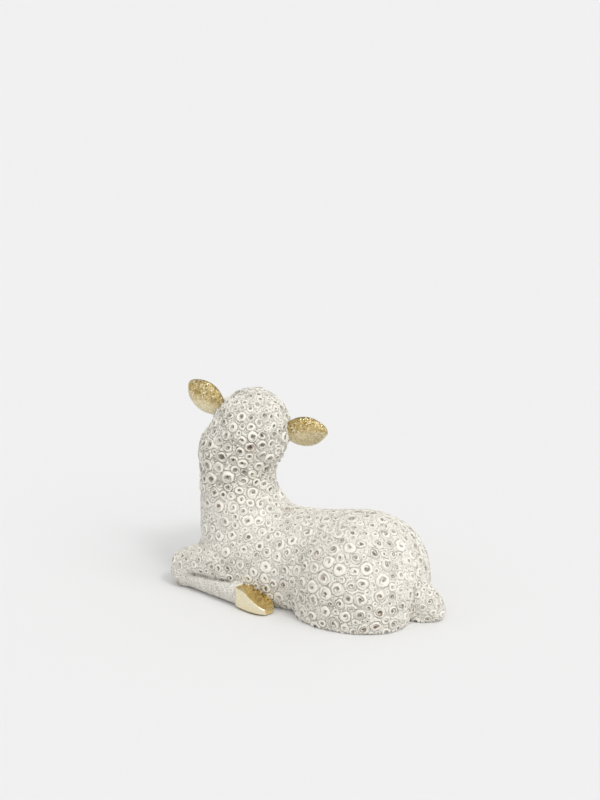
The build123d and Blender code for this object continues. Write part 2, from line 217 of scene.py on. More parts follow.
# Curls. A curl is a strand that winds out of a pit to a ring-shaped groove. All its shares
# are of its own radius, and the paint below follows the same winding.

LIFT_SHARE = 0.36
CROWDING = 0.93
BEND_MM = 0.5
BEND_SIZE_MM = 7.0
MIXED_SIZES = ((0.74, 1.15), (0.48, 0.72), (0.30, 0.45))
CAST_SPACING = 6.0 * MM
CAST_RISE = 0.22 * MM


class Curls:
    """Curls packed side by side over a skin, of mixed sizes, with small ones in the gaps.

    Where the casting has a curl of its own, which shows as a rise of the skin, one is carved there.
    """

    def __init__(self, points, normals, wool, seed, rise=None):
        rng = np.random.default_rng(seed)
        covered = wool["bare"] < 0.5
        wool = {name: values[covered] for name, values in wool.items()}
        places, wanted = hand_bend(points[covered]), wool["radius"]
        free = np.full(len(places), np.inf)
        chosen, radii = [], []
        if rise is not None:
            left = rise[covered]
            while left.max() > CAST_RISE:
                spot = left.argmax()
                reach = np.linalg.norm(places - places[spot], axis=1)
                left[reach < CAST_SPACING] = 0
                chosen.append(spot)
                radii.append(min(wanted[spot] * rng.uniform(0.85, 1.25), free[spot]))
                free = np.minimum(free, reach - CROWDING * radii[-1])
        for low, high in MIXED_SIZES:
            target = wanted * rng.uniform(low, high, len(places))
            jitter = rng.uniform(0, 0.3, len(places)) * target
            while True:
                slack = free - target
                spot = np.argmin(np.where(slack >= 0, np.minimum(slack, 1) + jitter, np.inf))
                if slack[spot] < 0:
                    break
                chosen.append(spot)
                radii.append(target[spot])
                reach = np.linalg.norm(places - places[spot], axis=1)
                free = np.minimum(free, reach - CROWDING * target[spot])
        count = len(radii)
        self.middles = places[chosen]
        self.outward = normals[covered][chosen]
        self.radii = np.array(radii)
        small = ease(2.4 * MM, 1.4 * MM, self.radii)
        self.open = wool["open"][chosen] * rng.uniform(0.2, 1.0, count)
        self.wash = wool["wash"][chosen] * (1 - 0.45 * small)
        self.stain = (rng.uniform(0, 1, count) < wool["stain"][chosen]) * rng.uniform(0.4, 1, count)
        self.pit = rng.uniform(0.10, 0.19, count) + 0.08 * small + 0.16 * self.open
        self.pitch = rng.uniform(0.44, 0.74, count) + 0.5 * small
        self.tail = self.pit + rng.uniform(0.45, 1.20, count) * (1 - 0.5 * small)
        self.deep = np.clip(rng.beta(1.6, 1.4, count) * 0.85 + 0.15 + 0.2 * self.stain, 0, 1) * self.wash
        self.deep *= 1 - 0.25 * self.open
        turn = rng.uniform(0, 2 * pi, count)[:, None]
        hand = rng.choice((-1.0, 1.0), count)[:, None]
        helper = np.where(np.abs(self.outward[:, 2:]) < 0.9, (0, 0, 1.0), (1.0, 0, 0))
        side = np.cross(helper, self.outward)
        side /= np.linalg.norm(side, axis=1, keepdims=True)
        self.start = side * np.cos(turn) + np.cross(self.outward, side) * np.sin(turn)
        self.quarter = np.cross(self.outward, self.start) * hand

    def local(self, curl, bent):
        """Places in curls' own planes, in radii, as far from the middle as they truly are."""
        away = bent - self.middles[curl]
        x = (away * self.start[curl]).sum(-1)
        y = (away * self.quarter[curl]).sum(-1)
        stretch = np.linalg.norm(away, axis=-1) / (np.hypot(x, y) + 1e-9) / self.radii[curl]
        return x * stretch, y * stretch

    def owners(self, bent, normals):
        """The curl that each point belongs to, and how far from its middle it is, in radii."""
        tree = KDTree(len(bent))
        for index, point in enumerate(bent):
            tree.insert(point, index)
        tree.balance()
        owner = np.zeros(len(bent), np.int32)
        nearest = np.full(len(bent), 9.0)
        for curl, (middle, radius) in enumerate(zip(self.middles, self.radii)):
            found = tree.find_range(middle, radius * 1.9)
            if not found:
                continue
            near = np.array([index for _, index, _ in found], np.int32)
            reach = np.array([distance for _, _, distance in found]) / radius
            closer = (reach < nearest[near]) & (normals[near] @ self.outward[curl] > 0)
            nearest[near[closer]] = reach[closer]
            owner[near[closer]] = curl
        return owner, nearest

    def heights(self, curl, x, y):
        """Heights of the curls' discs and of the strands between discs, as shares of the lift."""
        pit, reach = self.pit[curl], np.hypot(x, y)
        wind = ((reach - pit) / self.pitch[curl] - np.arctan2(y, x) / (2 * pi)) % 1.0
        groove = np.abs(2 * wind - 1) ** 2 * ease(self.tail[curl], pit, reach) * ease(1.0, 0.78, reach)
        rim = ease(1.02, 0.82, reach) * (0.85 + 0.15 * bell((reach - 0.6) / 0.25))
        hole = ease(pit * 1.5, pit * 0.5, reach)
        disc = rim * (1 - 0.75 * groove) * (1 - hole) - (0.2 + 0.6 * self.deep[curl]) * hole
        strand = ease(1.0, 1.14, reach) - 0.2 * bell((reach - 1.36) / 0.09)
        return disc, (0.95 - 0.25 * self.open[curl]) * strand

    def carve(self, mesh, wool):
        """Raises the curls on a skin, and keeps on it what the paint follows."""
        points, normals = points_of(mesh), normals_of(mesh)
        radius, bare = wool["radius"], wool["bare"]
        bent = hand_bend(points)
        owner, nearest = self.owners(bent, normals)
        disc, filler = self.heights(owner, *self.local(owner, bent))
        size = np.sqrt(self.radii[owner] * radius)
        lift = LIFT_SHARE * (1 + 0.9 * self.open[owner]) * (disc * size + filler * radius)
        lift += 0.10 * MM * lumps(points, 1.9 * MM, SEED)
        set_points(mesh, points + normals * (lift * (1 - bare))[:, None])

        corners = np.empty(len(mesh.loops), np.int32)
        starts = np.empty(len(mesh.polygons), np.int32)
        totals = np.empty(len(mesh.polygons), np.int32)
        mesh.loops.foreach_get("vertex_index", corners)
        mesh.polygons.foreach_get("loop_start", starts)
        mesh.polygons.foreach_get("loop_total", totals)
        face_of = np.repeat(np.arange(len(starts)), totals)
        best = np.minimum.reduceat(nearest[corners], starts)
        wins = nearest[corners] <= best[face_of]
        face_curl = np.zeros(len(starts), np.int32)
        face_curl[face_of[wins]] = owner[corners[wins]]
        places = np.stack(self.local(face_curl[face_of], bent[corners]), 1)
        layer = mesh.uv_layers.new(name="curl")
        layer.data.foreach_set("uv", places.astype(np.float32).ravel())
        for name in ("pitch", "pit", "tail", "deep", "stain", "wash"):
            mark = mesh.attributes.new(name, "FLOAT", "FACE")
            mark.data.foreach_set("value", getattr(self, name)[face_curl].astype(np.float32))
        mark_points(mesh, "bare", bare)
        mark_points(mesh, "pebble", wool["pebble"])


def hand_bend(points):
    """The places as a carver's hand sees them: a little bent, so that no curl is a true circle."""
    bend = [lumps(points, BEND_SIZE_MM * MM, SEED + axis) for axis in (1, 2, 3)]
    return points + BEND_MM * MM * np.stack(bend, 1)


# Paint

def linear(code):
    """A hex colour as the linear values that shaders take."""
    parts = (int(code[i : i + 2], 16) / 255 for i in (1, 3, 5))
    return (*(c / 12.92 if c <= 0.04045 else ((c + 0.055) / 1.055) ** 2.4 for c in parts), 1)


def add(tree, kind, *inputs, **settings):
    """Adds a node with its settings, and fills its inputs, by order or by name, with values or links."""
    made = tree.nodes.new("ShaderNode" + kind)
    for name, value in settings.items():
        setattr(made, name, value)
    named = inputs and isinstance(inputs[0], dict)
    for key, value in inputs[0].items() if named else enumerate(inputs):
        if isinstance(value, bpy.types.Node):
            value = next(socket for socket in value.outputs if socket.enabled)
        if isinstance(value, bpy.types.NodeSocket):
            tree.links.new(value, made.inputs[key])
        else:
            made.inputs[key].default_value = value
    return made


def new_material(name):
    material = bpy.data.materials.new(name)
    material.use_nodes = True
    material.node_tree.nodes.clear()
    return material, material.node_tree


def step(low, high, value, top=1.0):
    """Inputs of a Map Range node that goes from 0 to the top."""
    return {"Value": value, "From Min": low, "From Max": high, "To Min": 0.0, "To Max": top}


def painted_fleece():
    """Cast resin, brushed with matte cream paint, then wiped with a grey-beige wash.

    The wash stays in the grooves and pits, so the carving reads as thin grey lines and dark
    pits on broad pale curls. A few pits hold brown.
    """
    material, tree = new_material("cream_paint_on_resin")
    place = add(tree, "UVMap", uv_map="curl")
    pitch, pit, tail, deep, stain, wash, bare, shade, pebble = (
        add(tree, "Attribute", attribute_name=name).outputs["Fac"]
        for name in ("pitch", "pit", "tail", "deep", "stain", "wash", "bare", "shade", "pebble")
    )
    wool = add(tree, "Math", 1.0, bare, operation="SUBTRACT", use_clamp=True)
    where = add(tree, "TexCoord").outputs["Object"]
    patches = add(tree, "TexNoise", {"Vector": where, "Scale": 1 / (22 * MM), "Detail": 2.0})
    blots = add(tree, "TexNoise", {"Vector": where, "Scale": 1 / (5 * MM), "Detail": 1.0})
    grain = add(tree, "TexNoise", {"Vector": where, "Scale": 1 / (0.9 * MM), "Detail": 3.0})
    wobble = add(tree, "TexNoise", {"Vector": where, "Scale": 1 / (2.2 * MM), "Detail": 1.0})
    wobble = add(tree, "SeparateXYZ", wobble.outputs["Color"]).outputs

    # The strand's winding, drawn by an unsteady hand: the groove is where it is a whole number
    axes = add(tree, "SeparateXYZ", place)
    reach = add(tree, "VectorMath", place, operation="LENGTH").outputs["Value"]
    stray = add(tree, "Math", wobble["X"], -0.5, operation="ADD")
    reach = add(tree, "Math", stray, 0.55, reach, operation="MULTIPLY_ADD")
    turn = add(tree, "Math", axes.outputs["Y"], axes.outputs["X"], operation="ARCTAN2")
    turn = add(tree, "Math", turn, 2 * pi, operation="DIVIDE")
    turn = add(tree, "Math", wobble["Y"], 0.5, turn, operation="MULTIPLY_ADD")
    wind = add(tree, "Math", reach, pit, operation="SUBTRACT")
    wind = add(tree, "Math", wind, pitch, operation="DIVIDE")
    wind = add(tree, "Math", wind, turn, operation="SUBTRACT")
    off_line = add(tree, "Math", wind, 0.5, operation="PINGPONG")
    off_line = add(tree, "Math", off_line, pitch, operation="MULTIPLY")
    line = add(tree, "MapRange", step(0.22, 0.05, off_line), interpolation_type="SMOOTHSTEP")
    inside = add(tree, "MapRange", step(1.0, 0.80, reach), interpolation_type="SMOOTHSTEP")
    runs_out = add(tree, "MapRange", step(tail, pit, reach), interpolation_type="SMOOTHSTEP")
    line = add(tree, "Math", line, runs_out, operation="MULTIPLY")
    line = add(tree, "Math", line, inside, operation="MULTIPLY")

    # Pits, rings and the small strands between the curls
    hollow = add(tree, "Math", reach, pit, operation="DIVIDE")
    hollow = add(tree, "MapRange", step(1.4, 0.6, hollow), interpolation_type="SMOOTHSTEP")
    comma = add(tree, "Math", line, 0.9, operation="MULTIPLY")
    hollow = add(tree, "Math", hollow, comma, operation="MAXIMUM")
    hollow = add(tree, "Math", hollow, wool, operation="MULTIPLY")
    off_ring = add(tree, "Math", reach, 1.0, operation="SUBTRACT")
    off_ring = add(tree, "Math", off_ring, 0.0, operation="ABSOLUTE")
    ring = add(tree, "MapRange", step(0.14, 0.02, off_ring), interpolation_type="SMOOTHSTEP")
    off_strand = add(tree, "Math", reach, 1.36, operation="SUBTRACT")
    off_strand = add(tree, "Math", off_strand, 0.0, operation="ABSOLUTE")
    strands = add(tree, "MapRange", step(0.12, 0.02, off_strand, 0.3), interpolation_type="SMOOTHSTEP")
    pebbles = add(tree, "TexVoronoi", {"Vector": where, "Scale": 1 / (1.6 * MM)})
    pebbles = add(tree, "Math", pebbles, pebble, operation="MULTIPLY")
    groove = add(tree, "Math", line, ring, operation="MAXIMUM")
    groove = add(tree, "Math", groove, strands, operation="MAXIMUM")
    seams = add(tree, "MapRange", step(0.42, 0.85, pebbles, 0.8))
    groove = add(tree, "Math", groove, seams, operation="MAXIMUM")
    groove = add(tree, "Math", groove, wool, operation="MULTIPLY")

    wiped = add(tree, "MapRange", {"Value": blots, "From Min": 0.35, "From Max": 0.62,
                                   "To Min": 0.38, "To Max": 1.0})
    left = add(tree, "Math", groove, wiped, operation="MULTIPLY")
    left = add(tree, "Math", left, wash, operation="MULTIPLY")
    cream = add(tree, "Mix", {0: patches, 6: linear("#F5F3EC"), 7: linear("#F0EBDF")}, data_type="RGBA")
    colour = add(tree, "Mix", {0: left, 6: cream, 7: linear("#A69D8D")}, data_type="RGBA")
    dark = add(tree, "Mix", {0: stain, 6: linear("#777064"), 7: linear("#7F5A34")}, data_type="RGBA")
    filled = add(tree, "Math", hollow, deep, operation="MULTIPLY")
    colour = add(tree, "Mix", {0: filled, 6: colour, 7: dark}, data_type="RGBA")
    specks = add(tree, "MapRange", step(0.56, 0.75, grain, 0.16))
    colour = add(tree, "Mix", {0: specks, 6: colour, 7: linear("#CBC4B5")}, data_type="RGBA")
    colour = add(tree, "Mix", {0: shade, 6: colour, 7: linear("#6B6055")}, data_type="RGBA")

    # Short hair strokes on the bare face, down its front and back along its sides
    strokes = add(tree, "Mapping", {"Vector": where, "Rotation": HEAD_AXES.to_euler(),
                                    "Scale": (0.6 * MM, 2.4 * MM, 3.0 * MM)}, vector_type="TEXTURE")
    strokes = add(tree, "TexNoise", {"Vector": strokes, "Scale": 1.0, "Detail": 2.0})
    strokes = add(tree, "Math", strokes, bare, operation="MULTIPLY")
    washed = add(tree, "MapRange", step(0.5, 0.72, strokes, 0.5))
    colour = add(tree, "Mix", {0: washed, 6: colour, 7: linear("#A89F90")}, data_type="RGBA")

    cut = add(tree, "Math", groove, 0.5, operation="MULTIPLY")
    cut = add(tree, "Math", hollow, cut, operation="ADD")
    relief = add(tree, "Math", grain, 0.16, operation="MULTIPLY")
    relief = add(tree, "Math", relief, cut, operation="SUBTRACT")
    relief = add(tree, "Math", relief, strokes, operation="ADD")
    relief = add(tree, "Math", relief, pebbles, operation="SUBTRACT")
    bump = add(tree, "Bump", {"Strength": 0.7, "Distance": 0.5 * MM, "Height": relief})
    shader = add(tree, "BsdfPrincipled", {"Base Color": colour, "Roughness": 0.65, "Normal": bump})
    add(tree, "OutputMaterial", shader)
    return material


def gold_paint(name, hammer, dent, golds, reflected_golds):
    """Metallic gold paint over resin: satin underneath or on the outer side, where it is also painted paler
    as a reflection, and dented where it was tooled.

    Some dents are painted near white as glints and some darker gold as shade. Edges are painted bright as a
    highlight.
    """
    material, tree = new_material(name)
    where = add(tree, "TexCoord").outputs["Object"]
    smooth_and_reflected_side, painted_edge_highlight = (
        add(tree, "Attribute", attribute_name=mark).outputs["Fac"] for mark in ("smooth_and_reflected_side", "painted_edge_highlight")
    )
    patches = add(tree, "TexNoise", {"Vector": where, "Scale": 1 / (3 * MM), "Detail": 3.0})
    dents = add(tree, "TexVoronoi", {"Vector": where, "Scale": 1 / dent})
    flakes = add(tree, "TexNoise", {"Vector": where, "Scale": 1 / (0.5 * MM), "Detail": 2.0})
    chance = add(tree, "SeparateXYZ", dents.outputs["Color"]).outputs["X"]
    rough = add(tree, "Math", smooth_and_reflected_side, -0.5, 1.0, operation="MULTIPLY_ADD")
    rough = add(tree, "Math", rough, hammer, operation="MULTIPLY")
    gold = add(tree, "Mix", {0: patches, 6: linear(golds[0]), 7: linear(golds[1])}, data_type="RGBA")
    pale = add(tree, "Mix", {0: patches, 6: linear(reflected_golds[0]), 7: linear(reflected_golds[1])}, data_type="RGBA")
    # On the smooth side the gold is painted paler, as a reflection of the pale room
    colour = add(tree, "Mix", {0: smooth_and_reflected_side, 6: gold, 7: pale}, data_type="RGBA")
    # Painted shade: some dents are coloured dark gold
    painted_dent_shade = add(tree, "MapRange", step(0.40, 0.05, chance))
    painted_dent_shade = add(tree, "Math", painted_dent_shade, rough, operation="MULTIPLY")
    colour = add(tree, "Mix", {0: painted_dent_shade, 6: colour, 7: linear("#8A7034")}, data_type="RGBA")
    # Painted glints: some dents are coloured near white
    painted_highlight = add(tree, "MapRange", step(0.70, 0.95, chance))
    painted_highlight = add(tree, "Math", painted_highlight, rough, operation="MULTIPLY")
    # Painted highlight: the bright edges join the glints
    painted_highlight = add(tree, "Math", painted_highlight, painted_edge_highlight, operation="MAXIMUM")
    colour = add(tree, "Mix", {0: painted_highlight, 6: colour, 7: linear("#FFF6DA")}, data_type="RGBA")
    polish = add(tree, "MapRange", {"Value": patches, "From Min": 0.3, "From Max": 0.7,
                                    "To Min": 0.16, "To Max": 0.32})
    relief = add(tree, "Math", dents, flakes, operation="ADD")
    bump = add(tree, "Bump", {"Strength": rough, "Distance": 0.5 * MM, "Height": relief})
    shader = add(tree, "BsdfPrincipled", {"Base Color": colour, "Metallic": 1.0,
                                          "Roughness": polish, "Normal": bump})
    add(tree, "OutputMaterial", shader)
    return material


def plain_stuff(name, light, dark, size, rough, metal=0.0):
    """A stuff in two close colours that run into each other in spots of that size."""
    material, tree = new_material(name)
    where = add(tree, "TexCoord").outputs["Object"]
    spots = add(tree, "TexNoise", {"Vector": where, "Scale": 1 / size, "Detail": 3.0})
    colour = add(tree, "Mix", {0: spots, 6: linear(light), 7: linear(dark)}, data_type="RGBA")
    bump = add(tree, "Bump", {"Strength": 0.3, "Distance": 0.1 * MM, "Height": spots})
    shader = add(tree, "BsdfPrincipled", {"Base Color": colour, "Metallic": metal,
                                          "Roughness": rough, "Normal": bump})
    add(tree, "OutputMaterial", shader)
    return material


def dress(piece, material, slot, *nodes):
    """Paints a piece, fixes it to the lamb and hides the CAD nodes it stands for."""
    mesh = piece.data
    mesh.materials.clear()
    mesh.materials.append(material)
    mesh.polygons.foreach_set("use_smooth", np.ones(len(mesh.polygons), bool))
    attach(piece, "root")
    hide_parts(*nodes)


FLEECE_PAINT = painted_fleece()
EAR_GOLD = gold_paint(
    "gold_paint_on_tooled_resin", 0.75, 0.9 * MM,
    golds=("#BE9F54", "#E2CF9A"), reflected_golds=("#D4C597", "#E8DFC2"),
)
HOOF_GOLD = gold_paint(
    "gold_paint_on_smooth_resin", 0.02, 1.5 * MM,
    golds=("#DDBB68", "#EFDCA6"), reflected_golds=("#E8DAB2", "#F6EFD8"),
)
# Glossy black glass: the eyes mirror the room. Felt: dull and fuzzy. Rubber: dull and dark.
# Beech: pale with darker flecks. Steel: grey and bright.
PLAIN_STUFFS = (
    (plain_stuff("black_glass", "#14110F", "#241C16", 2 * MM, 0.08), ("left_eye", "right_eye")),
    (plain_stuff("grey_green_felt", "#5E6A57", "#475242", 0.6 * MM, 0.95), ("base_felt",)),
    (plain_stuff("black_rubber", "#2B2A29", "#1E1D1D", 1 * MM, 0.7), ("base_plug",)),
    (plain_stuff("beech", "#D2B48C", "#B8956A", 1.5 * MM, 0.6), ("neck_dowel",)),
    (plain_stuff("bright_steel", "#C9CACC", "#AFB1B4", 1 * MM, 0.3, 1.0),
     ("ear_pins", "foreleg_pins", "hoof_pins", "tail_pin")),
)
for stuff, nodes in PLAIN_STUFFS:
    for node in nodes:
        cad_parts[node].material_slots[0].material = stuff


# Body and head

BODY_GRAIN = 0.65 * MM
HEAD_GRAIN = 0.42 * MM
GOLD_GRAIN = 0.30 * MM
# Spreads that skins are evened out over: the cast curls keep their shape in the first one
CAST_SPREAD = 1.1 * MM
FLEECE_SPREAD = 3.2 * MM
WITHERS_SPREAD = 3.5 * MM
EAR_SPREAD = 0.35 * MM
HOOF_SPREAD = 0.22 * MM
# Spread that finds the hoof's convex edges, which are painted bright as a highlight
EDGE_SPREAD = 0.8 * MM
FOLD_DEPTH = 1.2 * MM
HOOF_SINK = 2.2 * MM
EARS = ("left_ear", "right_ear")
HOOVES = ("left_fore_hoof", "right_fore_hoof")
LEGS = ("left_foreleg", "right_foreleg")


def core_wool(points):
    """How the wool is carved and painted.

    Curls are largest on the haunches. On the neck and head they are open rings with wide pits.
    They are small on the knees, and along the lower legs there is a fine grain of pebbles.
    Brown is in pits low on the rump and in the flank's crease. The face and base are bare.
    """
    x, y, z = points.T / MM
    haunch = bell(0.9 * (x - 32) / 28, 0.9 * (z - 22) / 24)
    neck = ease(50, 72, z)
    rump = bell((x - 54) / 13, (z - 8) / 9)
    flank = bell((x + 8) / 7, (z - 14) / 14)
    leg = ease(2.2, 0.6, np.minimum(*(off_node(points, node) for node in LEGS)) / MM)
    shank = leg * ease(15, 10, z) * ease(-80, -68, x)
    tail = ease(2.2, 0.6, off_node(points, "tail") / MM)

    away = (points - HEAD_MIDDLE) / MM
    ahead, rise = away @ FACE_WAY, away @ HEAD_UP
    out, up = away @ MUZZLE_WAY, away @ MUZZLE_UP
    edge = -4.5 + 18 * ease(1, 11, rise) + 16 * ease(-12, -20, rise)
    jaw = -11.0 - 14 * ease(27, 34, out)
    face = ease(-0.8, 0.8, ahead - edge) * ease(-1, 1, up - jaw) * (points[:, 2] > NECK_JOINT)
    radius = 3.0 + 0.7 * haunch + 0.75 * neck - 0.9 * ease(80, 98, z)
    radius += (2.4 - 0.8 * shank - radius) * leg
    radius += (2.4 - radius) * tail
    return {
        "radius": radius * MM,
        "open": np.maximum(neck, 0.3 * leg),
        "wash": np.clip(0.80 + 0.3 * ease(26, 14, z) + 0.08 * neck, 0, 1) - 0.45 * shank,
        "stain": 0.05 + 0.9 * rump + 0.3 * flank,
        "bare": np.maximum(face, ease(0.5, 0.1, z - FOOT_HEIGHT / MM)),
        "pebble": shank,
    }


def core_skin(name, grain, floor):
    """The whole lamb but its ears as one smooth skin, and how far the cast curls rise from it."""
    piece = even_skin(name, [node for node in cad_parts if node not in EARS], grain, ("tail",))
    mesh = piece.data
    bm = bmesh.new()
    bm.from_mesh(mesh)
    bmesh.ops.delete(bm, geom=[vert for vert in bm.verts if vert.co.z < floor], context="VERTS")
    bm.to_mesh(mesh)
    bm.free()
    points = points_of(mesh)
    points[:, 2] = np.maximum(points[:, 2], FOOT_HEIGHT)
    set_points(mesh, points)
    relax(mesh, grain, CAST_SPREAD)
    cast = points_of(mesh)
    x, y, z = cast.T / MM
    limbs = np.minimum.reduce([off_node(cast, node) for node in (*LEGS, *HOOVES)]) / MM
    body = ease(NECK_JOINT / MM + 14, NECK_JOINT / MM + 4, z) * ease(0.8, 4, limbs)
    body *= 1 - 0.6 * ease(3, 1, off_node(cast, "tail") / MM)
    nape = bell((z - 98) / 12, (x + 62) / 14)
    free = np.maximum(ease(0.3, 5, z - FOOT_HEIGHT / MM), bell((x - 63) / 6, y / 11))
    relax(mesh, grain, FLEECE_SPREAD, np.maximum(body, nape) * free)
    withers = bell((x + 16) / 18, y / 32, (z - 55) / 12)
    relax(mesh, grain, WITHERS_SPREAD, np.clip(1.3 * withers + nape, 0, 1))
    points = points_of(mesh)
    points[:, 2] = np.maximum(points[:, 2], FOOT_HEIGHT)
    set_points(mesh, points)
    rise = ((cast - points_of(mesh)) * normals_of(mesh)).sum(1) * (1 - np.clip(2 * withers, 0, 1))
    return piece, np.where((z < NECK_JOINT / MM) & (limbs > 3), rise, 0)


def cut_at_neck(piece, keep_top):
    """Cuts a core skin at the neck joint, keeps one side and closes the cut."""
    bm = bmesh.new()
    bm.from_mesh(piece.data)
    cut = bmesh.ops.bisect_plane(
        bm, geom=bm.verts[:] + bm.edges[:] + bm.faces[:],
        plane_co=(0, 0, NECK_JOINT), plane_no=(0, 0, 1),
        clear_inner=keep_top, clear_outer=not keep_top,
    )
    rim = [item for item in cut["geom_cut"] if isinstance(item, bmesh.types.BMEdge)]
    bmesh.ops.edgeloop_fill(bm, edges=rim)
    bm.to_mesh(piece.data)
    bm.free()


EYE_MIDDLE_MM = np.array((14.95, 1.88, 15.98))
EYE_LOOK = np.array((0.768, 0.075, 0.636))


def carve_face(mesh):
    """Carves the lids, brows, nose, mouth and chin, and keeps where the wash stays in them."""
    away = (points_of(mesh) - HEAD_MIDDLE) / MM
    axes = np.array((HEAD_LEFT, HEAD_UP, FACE_WAY))
    local = away @ axes.T
    across = np.abs(local[:, 0])
    rise, ahead = local[:, 1], local[:, 2]
    out, up = away @ MUZZLE_WAY, away @ MUZZLE_UP
    front = ease(33, 37, out)

    aside, above = across - 4.3, up - 2.6
    nostril = bell((0.85 * aside - 0.5 * above) / 1.7, (0.5 * aside + 0.85 * above) / 0.9)
    nostril *= front
    lip = bell(across / 0.5) * ease(0.2, -1.0, up) * ease(-5.6, -4.6, up) * front
    mouth_line = -4.9 + 0.13 * (38 - out) - 0.02 * across
    mouth = bell((up - mouth_line) / 0.6) * ease(21, 25, out)
    pad = ease(7.6, 6.2, across) * ease(6.0, 4.6, up) * ease(-1.6, -0.4, up) * ease(36, 39, out)
    chin = ease(0, -2.5, up - mouth_line) * ease(30, 38, out)
    brow = bell((across - 13) / 5, (rise - 8) / 3.5, (ahead - 17) / 7)
    cheek = bell((across - 14) / 6, (rise + 8) / 6, (ahead - 14) / 7)
    lift = 0.9 * brow + 0.9 * cheek + 0.4 * pad - 1.5 * nostril - 0.6 * lip - 1.1 * mouth - 0.9 * chin
    moved = local + (normals_of(mesh) @ axes.T) * lift[:, None]
    shade = np.clip(0.9 * nostril + 0.5 * lip + 0.65 * mouth + 0.22 * pad, 0, 1)

    # Lids round the glass eyes: the skin dips under the bead, rises to a ridge and falls away
    mirror = np.where(local[:, :1] < 0, (-1.0, 1, 1), (1.0, 1, 1))
    from_eye = moved * mirror - EYE_MIDDLE_MM
    depth = from_eye @ EYE_LOOK
    eye_up = np.array((0, 1.0, 0)) - EYE_LOOK * EYE_LOOK[1]
    eye_up /= np.linalg.norm(eye_up)
    eye_side = np.cross(EYE_LOOK, eye_up)
    wide, high = from_eye @ eye_side, from_eye @ eye_up
    ring = np.hypot(wide / 2.75, high / 2.1)
    upper = ease(-1.0, 1.0, high)
    ridge = 0.5 + (1.6 + 0.5 * upper) * ease(0.84, 1.06, ring) - (0.5 + 0.5 * upper) * ease(1.25, 1.7, ring)
    near = ease(2.4, 1.7, ring) * (depth > -4)
    moved += (EYE_LOOK * mirror) * (near * (ridge - depth))[:, None]
    crease = bell((ring - 1.02) / 0.10) + 0.5 * upper * bell((ring - 1.62) / 0.12)
    shade = np.maximum(shade, np.clip(0.8 * crease, 0, 1) * near)
    set_points(mesh, HEAD_MIDDLE + moved @ axes * MM)
    mark_points(mesh, "shade", shade)


def part_off(piece, name, kept):
    """A new piece of those faces of a skin, closed where it was cut."""
    mesh = piece.data.copy()
    mesh.name = name
    bm = bmesh.new()
    bm.from_mesh(mesh)
    bmesh.ops.delete(bm, geom=[face for face, keep in zip(bm.faces[:], kept) if not keep], context="FACES")
    bmesh.ops.holes_fill(bm, edges=[edge for edge in bm.edges if edge.is_boundary])
    bm.to_mesh(mesh)
    bm.free()
    keep_outer_skin(mesh)
    part = bpy.data.objects.new(name, mesh)
    bpy.context.scene.collection.objects.link(part)
    return part


def fold_legs(mesh):
    """Presses in the crease between the upper and the lower part of each folded foreleg."""
    points = points_of(mesh)
    x, side, z = points[:, 0] / MM, np.abs(points[:, 1]) / MM, points[:, 2] / MM
    off_leg = np.minimum(*(off_node(points, node) for node in LEGS)) / MM
    # The crease climbs outwards: places along its line, and off it
    along, off_line = x - 0.6 * side, z - 0.45 * side + 0.6
    crease = bell((off_line - 0.4 * lumps(points, 9 * MM, SEED)) / 0.9) * ease(2.5, 1.5, off_leg)
    crease *= ease(-86, -80, along) * ease(-53, -59, along) * ease(14, 18, side)
    set_points(mesh, points - normals_of(mesh) * (FOLD_DEPTH * crease)[:, None])
    mark_points(mesh, "shade", 0.4 * crease)


def sink_under_hooves(mesh, over_hoof):
    """Sinks the skin below the gold, where its faces run over a hoof."""
    points = points_of(mesh)
    hidden = np.ones(len(points), bool)
    for face, over in zip(mesh.polygons, over_hoof):
        if not over:
            hidden[list(face.vertices)] = False
    points -= normals_of(mesh) * (hidden * HOOF_SINK)[:, None]
    points[hidden, 2] = np.maximum(points[hidden, 2], FOOT_HEIGHT)
    set_points(mesh, points)


def make_fleece():
    """All the wool, carved with the same curls and parted where the castings meet."""
    core, rise = core_skin("core", BODY_GRAIN, -1.0)
    points, normals = points_of(core.data), normals_of(core.data)
    wool = core_wool(points)
    curls = Curls(points, normals, wool, SEED, rise)
    curls.carve(core.data, wool)
    fold_legs(core.data)
    cut_at_neck(core, False)
    middles = np.empty(len(core.data.polygons) * 3)
    core.data.polygons.foreach_get("center", middles)
    nodes = ("body_shell", *LEGS, "tail")
    off = np.array([off_node(middles.reshape(-1, 3), node) for node in (*nodes, *HOOVES)])
    sink_under_hooves(core.data, off.argmin(0) >= len(nodes))
    nearest = off[: len(nodes)].argmin(0)
    names = ("body_fleece", "left_foreleg_wool", "right_foreleg_wool", "tail_wool")
    for index, name in enumerate(names):
        part = part_off(core, name, nearest == index)
        dress(part, FLEECE_PAINT, "wool_resin", nodes[index])
    bpy.data.meshes.remove(core.data)

    head, _ = core_skin("head_fleece", HEAD_GRAIN, NECK_JOINT - 15 * MM)
    curls.carve(head.data, core_wool(points_of(head.data)))
    carve_face(head.data)
    cut_at_neck(head, True)
    dress(head, FLEECE_PAINT, "wool_resin", "head")


make_fleece()


# Ears and hooves

def make_ear(side):
    """A cupped gold ear with a rounded rim, tooled above and smooth underneath, with a ridge between. The
    underside is painted paler as a reflection, and the ridge is painted bright as a highlight.
    """
    node = side + "_ear"
    piece = even_skin(node + "_gold", (node,), GOLD_GRAIN)
    mesh = piece.data
    relax(mesh, GOLD_GRAIN, EAR_SPREAD)
    normals = normals_of(mesh)
    slope = normals[:, 2] + 0.30 + 0.04 * lumps(points_of(mesh), 4 * MM, SEED)
    # Faces that turn down are smoother, and painted paler as a reflection of the floor
    mark_points(mesh, "smooth_and_reflected_side", ease(0.06, -0.10, slope))
    # Along the ridge between the two sides the gold is painted bright as a highlight
    mark_points(mesh, "painted_edge_highlight", 0.35 * bell(slope / 0.12))
    set_points(mesh, points_of(mesh) + normals * (0.3 * MM * bell(slope / 0.15))[:, None])
    dress(piece, EAR_GOLD, "gold_paint", node)


